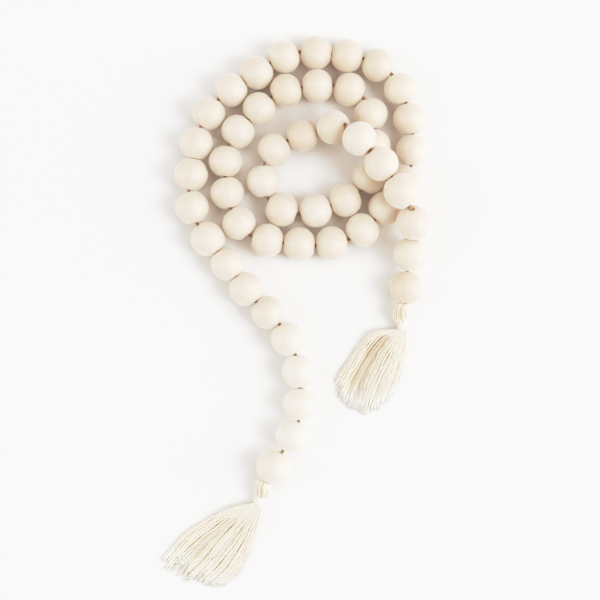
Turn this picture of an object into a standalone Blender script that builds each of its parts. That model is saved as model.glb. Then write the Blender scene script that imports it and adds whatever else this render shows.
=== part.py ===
"""Wood bead garland, laid on a flat surface.

Fifty-two turned wooden beads are threaded on one cotton string. The string lies in a spiral of three
rows, its inner end crosses over the other two rows, and a cotton tassel is tied on at each end.
X is to the right and Y is up as the garland is seen from above, Z is up, and the surface is at Z = 0.
"""

import math
import random

import bmesh
import bpy
from mathutils import Matrix, Vector
from mathutils.geometry import delaunay_2d_cdt

MM = 0.001
GAP = 0.3 * MM
SEED = 52

# A bead is a slightly flattened ball, cut flat at both ends of its hole. It rests on one of its flat
# sides, FLAT_RADIUS below its middle.
BEAD_COUNT = 52
BEAD_HALF_LENGTH = 8.75 * MM
BEAD_HALF_AXIS = 9.45 * MM
HOLE_RADIUS = 2.3 * MM
BEAD_SIDES = 12
BEAD_BANDS = 5
FLAT_RADIUS = 9.8 * MM
SIZE_SPREAD = 0.012
ODD_SIZES = {45: 0.955, 49: 1.03}
LEVEL_BELOW = 0.1 * MM

STRING_RADIUS = 1.15 * MM
STRING_SIDES_SETTING = 2
STRING_INTO_HEAD = 2.4 * MM
# A bend of the string lies between two beads: this share of the way from the two beads further out
# to the two beside it, and then moved until the string runs through the middle of each bead.
BEND_NEAR = 0.625
BEND_FAR = 0.125
BEND_STEPS = 8

# How the beads are eased apart where two of them would touch.
EASE_STEPS = 160
EASE_SHARE = 0.6
NEAR = 24 * MM

# The strand, in millimetres, from its lower left end inwards. A row is a bead's number, where its
# middle lies, and how far it is lifted off the surface. Beads that have no row lie on the curve
# between their neighbours. Rows 0 and 53 are the tassels' necks.
ROUTE_COLUMNS = ("bead", "x", "y", "lift")
TAIL = (
    (0, -19.0, -107.5, 0),
    (1, -12.0, -90.5, 0),
    (2, -1.0, -72.0, 0),
    (4, 3.0, -34.0, 0),
    (5, -3.5, -14.5, 0),
    (7, -28.0, 14.5, 0),
    (8, -39.0, 29.5, 0),
)
OUTER_ROW = (
    (9, -50.5, 44.0, 0),
    (10, -60.0, 63.0, 0),
    (11, -60.5, 82.0, 0),
    (13, -50.0, 118.5, 0),
    (15, -21.5, 142.5, 0),
    (16, -5.5, 151.5, 0),
    (18, 32.0, 152.0, 0),
    (19, 50.0, 146.5, 0),
    (20, 63.0, 132.5, 0),
    (21, 68.5, 115.0, 0),
    (22, 70.0, 96.5, 0),
)
MIDDLE_ROW = (
    (24, 54.0, 62.5, 0),
    (25, 40.5, 49.5, 0),
    (26, 22.5, 41.5, 0),
    (27, 3.5, 41.0, 0),
    (28, -16.0, 43.5, 0),
    (29, -32.0, 53.5, 0),
    (30, -39.0, 71.0, 0),
    (31, -40.0, 90.5, 0),
    (33, -20.5, 121.0, 0),
    (34, -4.5, 132.0, 0),
    (35, 14.0, 134.5, 0),
    (36, 33.5, 132.0, 0),
    (37, 45.0, 118.0, 0),
    (38, 46.5, 99.5, 0),
    (39, 45.5, 80.5, 0),
)
INNER_ROW = (
    (40, 31.0, 67.5, 0),
    (41, 13.0, 61.0, 0),
    (42, -7.0, 61.5, 0),
    (43, -17.5, 78.5, 0),
    (44, -11.5, 96.5, 0),
)
CROSSING = (
    (45, 5.0, 105.0, 1.6),
    (46, 23.5, 109.0, 8.0),
    (47, 38.5, 101.0, 17.2),
    (48, 50.5, 86.0, 18.2),
    (49, 62.0, 71.5, 18.4),
    (50, 69.5, 53.0, 11.8),
    (51, 68.5, 35.0, 3.2),
    (52, 66.5, 15.5, 0),
    (53, 64.5, -3.0, 0),
)

# A tassel's head, in millimetres: its sections from the last bead to the roots of the strands. It
# begins with a round mouth against the bead.
HEAD_COLUMNS = ("x", "y", "height", "half_width", "half_thick")
RIGHT_HEAD = (
    (64.8, 4.4, 9.3, 4.2, 4.2),
    (63.8, 2.2, 8.4, 4.9, 4.9),
    (63.2, -0.6, 7.3, 4.9, 4.7),
    (63.4, -2.7, 6.5, 3.8, 3.6),
    (63.8, -4.3, 6.1, 2.05, 2.05),
    (64.0, -6.7, 5.5, 2.0, 2.0),
    (64.2, -9.1, 4.9, 2.05, 2.05),
    (64.0, -10.4, 4.7, 3.6, 2.8),
    (63.4, -11.7, 4.4, 5.3, 3.1),
)
LEFT_HEAD = (
    (-17.4, -100.1, 9.3, 4.1, 4.1),
    (-17.9, -102.1, 8.4, 4.8, 4.8),
    (-18.4, -104.6, 7.3, 4.7, 4.6),
    (-18.9, -106.5, 6.5, 3.7, 3.5),
    (-19.4, -108.0, 6.1, 2.05, 2.05),
    (-20.2, -110.2, 5.5, 2.0, 2.0),
    (-21.0, -112.4, 4.9, 2.05, 2.05),
    (-21.8, -113.4, 4.7, 4.1, 2.9),
    (-22.9, -114.5, 4.4, 5.4, 3.1),
)
HEAD_SIDES = 14
MOUTH_RADIUS = 2.7 * MM
MOUTH_GAP = 0.45 * MM
SOCKET_RADIUS = 1.7 * MM
SOCKET_DEPTH = 2.8 * MM
ROUND = 2.0
SQUARER = 3.0

# The tie is thread wound round the neck, about the head's narrowest section. Its grooves and crests
# stand out from its inner face by these shares of the thread's thickness.
TIE_TURNS = 5
TIE_THREAD = 0.7 * MM
TIE_GROOVE = 0.5
TIE_CREST = 0.8
TIE_SLACK = 0.1 * MM
TIE_SIDES = 12

# The skirt's left edge, middle and right edge, in millimetres, at equal steps from roots to tips.
SKIRT_COLUMNS = ("left_x", "left_y", "middle_x", "middle_y", "right_x", "right_y")
RIGHT_SKIRT = (
    (48.9, -12.4, 57.5, -18.3, 64.8, -22.5),
    (39.5, -21.3, 51.6, -29.0, 61.9, -34.3),
    (31.2, -32.2, 45.7, -41.9, 59.8, -43.7),
    (22.9, -42.2, 39.8, -57.3, 57.5, -50.8),
)
LEFT_SKIRT = (
    (-36.3, -116.1, -29.3, -122.2, -23.1, -127.5),
    (-51.1, -123.4, -38.7, -134.0, -29.6, -142.0),
    (-64.7, -132.8, -49.3, -146.4, -36.3, -155.2),
    (-80.0, -148.7, -61.1, -159.4, -42.8, -162.3),
)
# The layers of strands, from the surface up: how many, how far across the skirt and across the roots
# they reach, the height of their undersides where they lie and where they are rooted, and the share
# of their length in which they settle.
LAYER_COLUMNS = ("strands", "reach", "root_reach", "lying_height", "root_height", "settled_at")
LAYERS = (
    (17, 1.00, 0.70, 0.0, -2.2, 0.30),
    (15, 0.93, 0.84, 1.9, -0.55, 0.45),
    (13, 0.80, 0.76, 3.8, 1.1, 0.60),
)
STRAND_STEPS = 8
STRAND_THICK = 1.45 * MM
STRAND_ROOT_THICK = 1.1 * MM
STRAND_THICK_AT = 0.33
STRAND_FILL = 0.74
ROOT_REACH = 0.86
RAGGED = 0.03
# Strands gather into locks: how deeply, how many locks across, and the share of their length by
# which they have gathered.
CLUMP_DEPTH = 0.035
CLUMPS = 2.5
CLUMPED_AT = 0.25
STEP_ASIDE = 0.02
FILL_MARGIN = 1e-5


def clear_scene():
    for thing in list(bpy.data.objects):
        bpy.data.objects.remove(thing, do_unlink=True)


def make_material(name, colour, roughness):
    material = bpy.data.materials.new(name)
    material.use_nodes = True
    shader = material.node_tree.nodes["Principled BSDF"]
    shader.inputs["Base Color"].default_value = (*colour, 1.0)
    shader.inputs["Roughness"].default_value = roughness
    shader.inputs["Metallic"].default_value = 0.0
    material.diffuse_color = (*colour, 1.0)
    return material


def add_object(name, data, material):
    piece = bpy.data.objects.new(name, data)
    bpy.context.scene.collection.objects.link(piece)
    if not data.materials:
        data.materials.append(material)
    return piece


def mesh_from(name, bm, smooth_angle):
    bmesh.ops.recalc_face_normals(bm, faces=bm.faces)
    mesh = bpy.data.meshes.new(name)
    bm.to_mesh(mesh)
    bm.free()
    mesh.shade_smooth()
    mesh.set_sharp_from_angle(angle=math.radians(smooth_angle))
    return mesh


def table_rows(columns, table):
    return [dict(zip(columns, row)) for row in table]


def smooth_step(t):
    t = min(1.0, max(0.0, t))
    return t * t * (3.0 - 2.0 * t)


def curve_through(knots, points, t):
    """The point at t on a smooth curve that passes each point at its knot."""
    last = len(knots) - 1
    k = next(i for i in range(last) if t <= knots[i + 1] or i == last - 1)

    def slope(j):
        if j == 0:
            return (points[1] - points[0]) / (knots[1] - knots[0])
        if j == last:
            return (points[last] - points[last - 1]) / (knots[last] - knots[last - 1])
        before = knots[j] - knots[j - 1]
        after = knots[j + 1] - knots[j]
        rise = (points[j] - points[j - 1]) / before
        fall = (points[j + 1] - points[j]) / after
        return (rise * after + fall * before) / (before + after)

    span = knots[k + 1] - knots[k]
    u = (t - knots[k]) / span
    return (
        points[k] * (2 * u**3 - 3 * u**2 + 1)
        + slope(k) * (span * (u**3 - 2 * u**2 + u))
        + points[k + 1] * (3 * u**2 - 2 * u**3)
        + slope(k + 1) * (span * (u**3 - u**2))
    )


def bead_corners():
    """The corners of a bead's outer profile: (along the hole, out from the hole)."""
    start = math.acos(BEAD_HALF_LENGTH / BEAD_HALF_AXIS)
    step = (math.pi - 2 * start) / BEAD_BANDS
    middle = math.sin(start + step * (BEAD_BANDS // 2)) * math.cos(math.pi / BEAD_SIDES)
    corners = []
    for i in range(BEAD_BANDS + 1):
        angle = start + step * i
        corners.append((BEAD_HALF_AXIS * math.cos(angle), FLAT_RADIUS / middle * math.sin(angle)))
    return corners


def ring_directions(sides):
    """Directions round the X axis, with one flat side straight down."""
    angles = [2 * math.pi * (i + 0.5) / sides - math.pi / 2 for i in range(sides)]
    return [Vector((0, math.cos(a), math.sin(a))) for a in angles]


def bead_mesh():
    """A bead along X: the outer profile turned about the hole, closed by the hole's wall."""
    corners = bead_corners()
    profile = [(x, r) for x, r in corners] + [(corners[-1][0], HOLE_RADIUS), (corners[0][0], HOLE_RADIUS)]
    bm = bmesh.new()
    rings = []
    for x, radius in profile:
        rings.append([bm.verts.new(Vector((x, 0, 0)) + d * radius) for d in ring_directions(BEAD_SIDES)])
    for ring, following in zip(rings, rings[1:] + rings[:1]):
        for i in range(BEAD_SIDES):
            j = (i + 1) % BEAD_SIDES
            bm.faces.new((ring[i], ring[j], following[j], following[i]))
    return mesh_from("bead", bm, smooth_angle=40)


def strand_start():
    """Each bead's middle as the table gives it, with the two necks, and each bead's size."""
    rows = table_rows(ROUTE_COLUMNS, TAIL + OUTER_ROW + MIDDLE_ROW + INNER_ROW + CROSSING)
    knots = [row["bead"] for row in rows]
    points = [Vector((row["x"], row["y"], row["lift"])) * MM for row in rows]
    rng = random.Random(SEED)
    sizes = [1.0] * (BEAD_COUNT + 2)
    for i in range(1, BEAD_COUNT + 1):
        sizes[i] = ODD_SIZES.get(i, 1.0 + rng.uniform(-SIZE_SPREAD, SIZE_SPREAD))
    middles = []
    for i in range(BEAD_COUNT + 2):
        point = curve_through(knots, points, i)
        middles.append(point + Vector((0, 0, FLAT_RADIUS * sizes[i])))
    return middles, sizes


def string_joints(middles):
    """The string's bends, one between each two middles, so that it runs straight through each bead."""
    padded = [2 * middles[0] - middles[1]] + middles + [2 * middles[-1] - middles[-2]]
    joints = []
    for a, b, c, d in zip(padded, padded[1:], padded[2:], padded[3:]):
        joints.append((b + c) * BEND_NEAR - (a + d) * BEND_FAR)
    for _ in range(BEND_STEPS):
        miss = [middles[i + 1] - (joints[i] + joints[i + 1]) / 2 for i in range(len(joints) - 1)]
        for i in range(1, len(joints) - 1):
            joints[i] = joints[i] + (miss[i - 1] + miss[i]) / 2
    return joints


def bead_turns(middles, sizes):
    """Each bead's rotation: X along the string, and level where the bead lies on the surface."""
    joints = string_joints(middles)
    turns = []
    for i in range(1, BEAD_COUNT + 1):
        axis = joints[i] - joints[i - 1]
        if on_surface(middles[i], sizes[i]):
            axis.z = 0.0
        axis.normalize()
        side = Vector((0, 0, 1)).cross(axis).normalized()
        turns.append(Matrix((axis, side, axis.cross(side))).transposed())
    return turns


def on_surface(middle, size):
    return middle.z < FLAT_RADIUS * size + LEVEL_BELOW


def ease_apart(middles, sizes):
    """Moves beads that would touch apart, a little at a time, until each pair has its gap."""
    corners = [Vector((x, 0, 0)) + d * r for x, r in bead_corners() for d in ring_directions(BEAD_SIDES)]

    def reach(i, turns, direction):
        local = turns[i - 1].transposed() @ direction
        return max(corner.dot(local) for corner in corners) * sizes[i]

    grounded = [on_surface(m, s) for m, s in zip(middles, sizes)]
    for _ in range(EASE_STEPS):
        turns = bead_turns(middles, sizes)
        for i in range(1, BEAD_COUNT + 1):
            for j in range(i + 1, BEAD_COUNT + 1):
                apart = middles[j] - middles[i]
                if apart.length > NEAR:
                    continue
                direction = apart.normalized()
                wanted = reach(i, turns, direction) + reach(j, turns, -direction) + GAP
                short = wanted - apart.length
                if short <= 0:
                    continue
                for k, sign in ((i, -1), (j, 1)):
                    push = direction * (sign * short * EASE_SHARE / 2)
                    if grounded[k]:
                        push.z = 0.0
                    middles[k] = middles[k] + push
    return middles


def add_beads(middles, sizes, material):
    mesh = bead_mesh()
    for i, turn in enumerate(bead_turns(middles, sizes), start=1):
        bead = add_object(f"bead_{i:02d}", mesh, material)
        bead.matrix_world = Matrix.Translation(middles[i]) @ turn.to_4x4() @ Matrix.Scale(sizes[i], 4)


def head_rings(rows, exit_point, exit_direction):
    """The middle, forward direction and half sizes of each section of a head, its mouth first."""
    middles = [exit_point + exit_direction * MOUTH_GAP]
    middles += [Vector((row["x"], row["y"], row["height"])) * MM for row in rows]
    rings = [(middles[0], exit_direction, MOUTH_RADIUS, MOUTH_RADIUS)]
    for i, row in enumerate(rows, start=1):
        forward = (middles[min(i + 1, len(rows))] - middles[i - 1]).normalized()
        rings.append((middles[i], forward, row["half_width"] * MM, row["half_thick"] * MM))
    return rings


def across_and_up(forward):
    """The two directions of a section that faces forward: level across it, and up it."""
    across = forward.cross(Vector((0, 0, 1))).normalized()
    return across, across.cross(forward)


def section_points(middle, forward, half_width, half_thick, sides, squareness=ROUND):
    across, up = across_and_up(forward)
    points = []
    for i in range(sides):
        angle = 2 * math.pi * (i + 0.5) / sides
        c, s = math.cos(angle), math.sin(angle)
        x = math.copysign(abs(c) ** (2 / squareness), c) * half_width
        y = math.copysign(abs(s) ** (2 / squareness), s) * half_thick
        points.append(middle + across * x + up * y)
    return points


def bridge(bm, ring, following):
    count = len(ring)
    for i in range(count):
        j = (i + 1) % count
        bm.faces.new((ring[i], ring[j], following[j], following[i]))


def skirt_point(skirt, root, share, across_share):
    """A place on the skirt seen from above: share runs from roots to tips, across_share from -1 to 1."""
    middle, forward, half_width, _ = root
    across, _ = across_and_up(forward)
    edge = half_width * ROOT_REACH
    lines = {
        "left": [middle + across * edge],
        "middle": [middle],
        "right": [middle - across * edge],
    }
    for row in skirt:
        for side, points in lines.items():
            points.append(Vector((row[side + "_x"], row[side + "_y"], 0)) * MM)
    knots = [i / len(skirt) for i in range(len(skirt) + 1)]
    left, centre, right = (curve_through(knots, points, share) for points in lines.values())
    u = across_share
    place = left * (u * (u - 1) / 2) + centre * (1 - u * u) + right * (u * (u + 1) / 2)
    return Vector((place.x, place.y, 0))


def clumped(u, phase):
    """Draws strands together into a few locks, without letting two of them change places."""
    return u + CLUMP_DEPTH * math.sin(CLUMPS * math.pi * u + phase) * (1 - u * u)


def strand_sections(layer, u, pitch, end, skirt, root, phase):
    """The triangles of one strand, from its root in the head's end face to its tip."""
    middle, forward, _, _ = root
    across, up = across_and_up(forward)
    reach = root[2] * layer["root_reach"] / layer["reach"]

    def place_of(share, u):
        spread = u + (clumped(u, phase) - u) * smooth_step(share / CLUMPED_AT)
        return skirt_point(skirt, root, share, spread)

    sections = []
    for k in range(STRAND_STEPS + 1):
        share = end * k / STRAND_STEPS
        if k == 0:
            side = -across
            rise = up
            base = middle + side * (u * reach) + up * (layer["root_height"] * MM)
            thick = STRAND_ROOT_THICK
            room = pitch * reach
        else:
            place = place_of(share, u)
            heading = (place_of(share + STEP_ASIDE, u) - place).normalized()
            side = Vector((-heading.y, heading.x, 0))
            rise = Vector((0, 0, 1))
            settled = smooth_step(share / layer["settled_at"])
            root_z = middle.z + layer["root_height"] * MM
            base = place + rise * (layer["lying_height"] * MM * settled + root_z * (1 - settled))
            thickened = smooth_step(share / STRAND_THICK_AT)
            thick = STRAND_ROOT_THICK + (STRAND_THICK - STRAND_ROOT_THICK) * thickened
            room = abs((place_of(share, u + STEP_ASIDE) - place).dot(side)) / STEP_ASIDE * pitch
        half = room * STRAND_FILL / 2
        sections.append((base - side * half, base + side * half, base + rise * thick))
    return sections


def fill_end_face(bm, loops, root):
    """Closes the head's flat end face inside its rim, the first loop, and round the strands' roots."""
    middle, forward, _, _ = root
    across, up = across_and_up(forward)
    verts = [vert for loop in loops for vert in loop]
    owners = [number for number, loop in enumerate(loops) for _ in loop]
    flat = [Vector(((vert.co - middle).dot(across), (vert.co - middle).dot(up))) / MM for vert in verts]
    edges = []
    for loop in loops:
        first = verts.index(loop[0])
        edges += [(first + i, first + (i + 1) % len(loop)) for i in range(len(loop))]
    _, _, faces, sources, _, _ = delaunay_2d_cdt(flat, edges, [], 0, FILL_MARGIN)
    for face in faces:
        corners = [sources[i][0] for i in face]
        inside = {owners[i] for i in corners}
        if len(inside) > 1 or 0 in inside:
            bm.faces.new([verts[i] for i in corners])


def tassel_mesh(name, rings, skirt, seed):
    """One closed body: a head with a socket for the string, and strands fused into its end face."""
    bm = bmesh.new()
    first, root = rings[0], rings[-1]
    into = first[1] * SOCKET_DEPTH
    loops = [
        section_points(first[0] + into, first[1], SOCKET_RADIUS, SOCKET_RADIUS, HEAD_SIDES),
        section_points(first[0], first[1], SOCKET_RADIUS, SOCKET_RADIUS, HEAD_SIDES),
    ]
    for i, (middle, forward, half_width, half_thick) in enumerate(rings):
        squareness = SQUARER if i == len(rings) - 1 else ROUND
        loops.append(section_points(middle, forward, half_width, half_thick, HEAD_SIDES, squareness))
    loops = [[bm.verts.new(point) for point in loop] for loop in loops]
    bm.faces.new(loops[0])
    for loop, following in zip(loops, loops[1:]):
        bridge(bm, loop, following)
    end_loops = [loops[-1]]

    rng = random.Random(seed)
    phase = rng.uniform(0, 2 * math.pi)
    for layer in table_rows(LAYER_COLUMNS, LAYERS):
        count = layer["strands"]
        pitch = 2 * layer["reach"] / (count - 1)
        for n in range(count):
            u = n * pitch - layer["reach"]
            end = 1 + rng.uniform(-RAGGED, RAGGED)
            triangles = strand_sections(layer, u, pitch, end, skirt, root, phase)
            loops = [[bm.verts.new(point) for point in triangle] for triangle in triangles]
            for loop, following in zip(loops, loops[1:]):
                bridge(bm, loop, following)
            bm.faces.new(loops[-1])
            end_loops.append(loops[0])
    fill_end_face(bm, end_loops, root)
    return mesh_from(name, bm, smooth_angle=50)


def tie_mesh(name, rings):
    """Thread wound round the neck: a short tube with a rounded rib for each turn."""
    middle, forward, neck_radius, _ = min(rings, key=lambda ring: ring[2])
    inner = (neck_radius + GAP) / math.cos(math.pi / TIE_SIDES) + TIE_SLACK
    length = TIE_TURNS * TIE_THREAD
    profile = [(-length / 2, inner)]
    for turn in range(TIE_TURNS):
        start = -length / 2 + turn * TIE_THREAD
        profile.append((start, inner + TIE_THREAD * TIE_GROOVE))
        profile.append((start + TIE_THREAD / 2, inner + TIE_THREAD * TIE_CREST))
    profile += [(length / 2, inner + TIE_THREAD * TIE_GROOVE), (length / 2, inner)]
    bm = bmesh.new()
    loops = []
    for along, radius in profile:
        points = section_points(middle + forward * along, forward, radius, radius, TIE_SIDES)
        loops.append([bm.verts.new(point) for point in points])
    for loop, following in zip(loops, loops[1:] + loops[:1]):
        bridge(bm, loop, following)
    return mesh_from(name, bm, smooth_angle=60)


def string_curve(middles, mouths):
    """The string: straight through each bead, with both ends in the tassels' sockets."""
    ends = [middle + forward * STRING_INTO_HEAD for middle, forward, _, _ in mouths]
    points = [ends[0]] + string_joints(middles)[1:-1] + [ends[1]]
    curve = bpy.data.curves.new("string", "CURVE")
    curve.dimensions = "3D"
    curve.bevel_depth = STRING_RADIUS
    curve.bevel_resolution = STRING_SIDES_SETTING
    curve.use_fill_caps = True
    curve.resolution_u = 1
    curve.render_resolution_u = 0
    spline = curve.splines.new("POLY")
    spline.points.add(len(points) - 1)
    for spot, point in zip(spline.points, points):
        spot.co = (*point, 1.0)
    spline.use_smooth = True
    return curve


def main():
    clear_scene()
    wood = make_material("bleached_wood", (0.86, 0.79, 0.70), 0.55)
    yarn = make_material("cotton_yarn", (0.90, 0.86, 0.77), 0.9)
    cord = make_material("cotton_string", (0.85, 0.80, 0.70), 0.9)
    thread = make_material("cotton_thread", (0.93, 0.90, 0.84), 0.85)

    middles, sizes = strand_start()
    middles = ease_apart(middles, sizes)
    add_beads(middles, sizes, wood)

    turns = bead_turns(middles, sizes)
    mouths = []
    for name, bead, outward, head, skirt in (
        ("left", 1, -1, LEFT_HEAD, LEFT_SKIRT),
        ("right", BEAD_COUNT, 1, RIGHT_HEAD, RIGHT_SKIRT),
    ):
        axis = turns[bead - 1].col[0] * outward
        exit_point = middles[bead] + axis * (BEAD_HALF_LENGTH * sizes[bead])
        rings = head_rings(table_rows(HEAD_COLUMNS, head), exit_point, axis)
        mouths.append(rings[0])
        tassel = tassel_mesh(f"tassel_{name}", rings, table_rows(SKIRT_COLUMNS, skirt), seed=bead)
        add_object(f"tassel_{name}", tassel, yarn)
        add_object(f"tie_{name}", tie_mesh(f"tie_{name}", rings), thread)
    add_object("string", string_curve(middles, mouths), cord)


main()
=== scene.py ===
"""Looks of the wood bead garland: turned and bleached beads, twisted string, two cotton tassels.

Lengths are in metres, apart from the tables that say millimetres. X is to the right and Y is up
as the garland is seen from above, and the surface that it lies on is at Z = 0.
"""

import math
import random

import bpy
import numpy as np
from mathutils import Matrix, Vector, noise


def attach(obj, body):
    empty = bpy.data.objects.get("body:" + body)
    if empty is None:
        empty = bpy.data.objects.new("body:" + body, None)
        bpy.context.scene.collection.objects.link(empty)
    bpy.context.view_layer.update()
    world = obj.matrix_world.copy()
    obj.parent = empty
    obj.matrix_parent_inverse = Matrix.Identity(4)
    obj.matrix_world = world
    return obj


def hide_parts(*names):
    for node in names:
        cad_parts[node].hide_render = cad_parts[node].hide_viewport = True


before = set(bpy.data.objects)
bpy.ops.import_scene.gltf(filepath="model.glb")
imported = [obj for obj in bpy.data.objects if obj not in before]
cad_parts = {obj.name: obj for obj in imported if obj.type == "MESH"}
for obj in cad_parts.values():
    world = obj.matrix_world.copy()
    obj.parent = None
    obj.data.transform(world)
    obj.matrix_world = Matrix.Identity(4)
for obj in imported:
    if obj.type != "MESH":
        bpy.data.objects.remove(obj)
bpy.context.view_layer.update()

MM = 0.001
SEED = 7
BODY = "root"

# The camera looks straight down on the coil. Its field of view is in degrees.
CAMERA_PLACE = (3.8 * MM, 8.2 * MM, 750 * MM)
CAMERA_NEAR = 10 * MM
FIELD_OF_VIEW = 26.9

# Light: a broad window at the right with the sky in it, a lamp above, a reflector at the left,
# white walls low at both sides that brighten the beads' flanks, and a room that is brightest low
# down. Angles are in degrees and powers in watts. The room changes from its low brightness to that
# overhead between two heights, which are sines of the elevation.
WHITE = (1.0, 1.0, 1.0)
SKY_WHITE = (0.97, 1.0, 1.04)
ROOM_OVERHEAD = 0.42
ROOM_LOW = 1.30
ROOM_LOW_TO = 0.08
ROOM_OVERHEAD_FROM = 0.30
LIGHT_COLUMNS = ("name", "azimuth", "elevation", "size", "power", "colour")
LIGHTS = (
    ("window", -12, 46, 2.4, 53.0, SKY_WHITE),
    ("sky_in_window", -12, 48, 1.4, 37.5, SKY_WHITE),
    ("lamp_above", 60, 60, 2.4, 28.5, WHITE),
    ("reflector", 180, 45, 2.4, 32.0, WHITE),
    ("wall_at_left", 180, 15, 2.0, 36.0, WHITE),
    ("wall_at_right", -5, 14, 2.0, 40.0, WHITE),
)
LIGHT_DISTANCE = 3.4

# The floor is a flat square, and FLOOR_HALF is half its side.
FLOOR_HALF = 3.0
FLOOR_COLOUR = (0.885, 0.870, 0.850)
FLOOR_ROUGHNESS = 0.75
FLOOR_SPECULAR = 0.2

# The print: tones are true up to the shoulder and then close in on the paper's white.
SHOULDER = 0.58
SHOULDER_REACH = 0.48
PAPER_WHITE = 0.956
BRIGHTEST = 2.4
SHOULDER_STEPS = 30

# Its darks are warm: below this tone red gains and blue loses a share that grows as the tone falls.
WARM_BELOW = 0.79
WARM_RED = 0.32
WARM_BLUE = -0.20
WARM_STEPS = 40

# Where the print's curves are kept: red's, blue's, and the one for all three colours.
CURVE_RED = 0
CURVE_BLUE = 2
CURVE_ALL = 3

# Colours of the wood and the cotton.
WOOD_WHITE = (0.800, 0.727, 0.630)
WOOD_TAN = (0.64, 0.50, 0.37)
WOOD_RING = (0.55, 0.40, 0.27)
WOOD_CLOUD = (0.82, 0.74, 0.64)
WOOD_PORE = (0.42, 0.29, 0.19)
YARN_LIGHT = (0.88, 0.81, 0.70)
YARN_SHADE = (0.75, 0.64, 0.49)
# The string's dark brown is painted shade: the colour of the shade in the gaps between beads, where
# the string shows.
STRING_LIGHT = (0.40, 0.30, 0.21)
STRING_SHADE = (0.24, 0.17, 0.11)
THREAD_LIGHT = (0.94, 0.90, 0.83)
THREAD_SHADE = (0.84, 0.76, 0.64)
FLUFF_LIGHT = (0.90, 0.86, 0.79)
FLUFF_SHADE = (0.83, 0.77, 0.68)
# Painted shade for cotton that lies deep in a tassel's heap.
COTTON_DEEP_SHADE = (0.575, 0.445, 0.325)
COTTON_TIP = (0.90, 0.85, 0.77)

# Light that enters wood or cotton spreads furthest in red and least in blue.
SUBSURFACE_SPREAD = (1.0, 0.6, 0.35)
SHEEN_ROUGHNESS = 0.5

# How the wood takes the light. Its rings, pores and clouds have the scales of their textures, and a
# share is how far each colours the wood. The tanner a bead is, the more its rings show.
WOOD_ROUGHNESS = 0.46
WOOD_SPECULAR = 1.0
WOOD_SHEEN = 0.6
WOOD_SUBSURFACE = 0.5
WOOD_REACH = 2.5 * MM
BEAD_SHIFT = (0.31, 0.17, 0.23)
RING_STRETCH = (0.12, 1.0, 1.0)
RING_SCALE = 90.0
RING_DISTORTION = 5.0
RING_DETAIL = 2.0
RING_DETAIL_SCALE = 0.6
RING_SHARE = 0.03
RING_SHARE_BY_TONE = 0.20
PORE_STRETCH = (90.0, 900.0, 900.0)
PORE_SCALE = 3.0
PORE_DETAIL = 3.0
PORE_FROM = 0.60
PORE_TO = 0.72
PORE_SHARE = 0.20
CLOUD_SCALE = 120.0
CLOUD_DETAIL = 3.0
CLOUD_SHARE = 0.30
CLOUD_ROUGHNESS = 0.2
WOOD_BUMP = 0.35
WOOD_BUMP_DEPTH = 0.05 * MM

# How the cotton takes the light. Painted shade darkens its plies in their grooves, its fuzz is fine
# noise, and broad noise makes it patchy. Painted shade also makes it darker and warmer where it
# lies deep in the heap, and it is whiter at open ends.
COTTON_ROUGHNESS = 0.9
COTTON_SPECULAR = 0.25
COTTON_SHEEN = 0.4
COTTON_SUBSURFACE = 0.3
COTTON_REACH = 0.5 * MM
FUZZ = 0.4
FUZZ_SCALE = 3600.0
FUZZ_DETAIL = 3.0
FUZZ_ROUGHNESS = 0.6
PATCH_SCALE = 260.0
PATCH_SHARE = 0.25
GROOVE_BELOW = 1.35
GROOVE_SHADE_SHARE = 0.50
# Painted shade on the cotton starts at the first depth, is full at the second, and takes this
# share.
DEEP_FROM = 0.26
DEEP_TO = 0.95
DEEP_SHADE_SHARE = 0.84
TIP_FROM = 0.86
TIP_SHARE = 0.85
COTTON_BUMP = 0.4
COTTON_BUMP_DEPTH = 0.05 * MM

# A tube counts as upright where the level part of its first step is shorter than this. Its mesh is
# smooth but for edges sharper than this many degrees.
NEARLY_UPRIGHT = 0.1
SHARP_EDGE = 70

# A bead is a ball a little shorter along its hole, faced off flat round the hole's two mouths, and
# BEAD_FLAT is a flat's radius as a share of the bead's. Corners of its solid are one where they
# agree to MATCH_DIGITS decimal places. The lathe's wander is noise, taken for each bead from a
# place of its own up to LATHE_PLACES away.
BEAD_COUNT = 52
BEAD_RADIUS = 10.0 * MM
SOLID_HALF_LENGTH = 8.75 * MM
MATCH_DIGITS = 7
BEAD_LONGEST = 9.5 * MM
BEAD_SHORTEST = 8.4 * MM
BEAD_END = 9.2 * MM
BEAD_APART = 0.30 * MM
BEAD_FLAT = 0.40
BEAD_SIDES = 48
BEAD_BANDS = 13
HOLE_RADIUS = 1.7 * MM
HOLE_DEPTH_SHOWN = 2.0 * MM
HOLE_BANDS = 4
RIM_ROUND = 0.28 * MM
RIM_STEPS = 4
LATHE_WANDER = 0.07 * MM
LATHE_WAVE = 7 * MM
LATHE_PLACES = 9

# How tan each bead's wood is, from 0 to 1: most differ a little at random. A few listed ones are
# paler or tanner, partly from their own wood and partly as painted light and shade: the tail's low
# beads paler and the coil's top row tanner.
USUAL_TONE = 0.47
TONE_SPREAD = 0.07
ODD_TONES = {
    1: -0.20, 2: -0.45, 3: -0.45, 4: -0.40, 5: -0.30, 17: 0.15, 18: 0.15, 19: 0.35, 22: -0.30,
    34: 0.35, 36: 0.35, 41: -0.25, 43: -0.20, 45: 0.22, 52: 0.25,
}

# The string is laid up from three plies.
STRING_RADIUS = 0.98 * MM
STRING_PLY_DEPTH = 0.16
STRING_PLIES = 3
STRING_PITCH = 7.5 * MM
STRING_SIDES = 18
STRING_STEP = 0.8 * MM
STRING_STRAIGHT = 0.62
STRING_INTO_HEAD = 2.6 * MM

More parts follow.
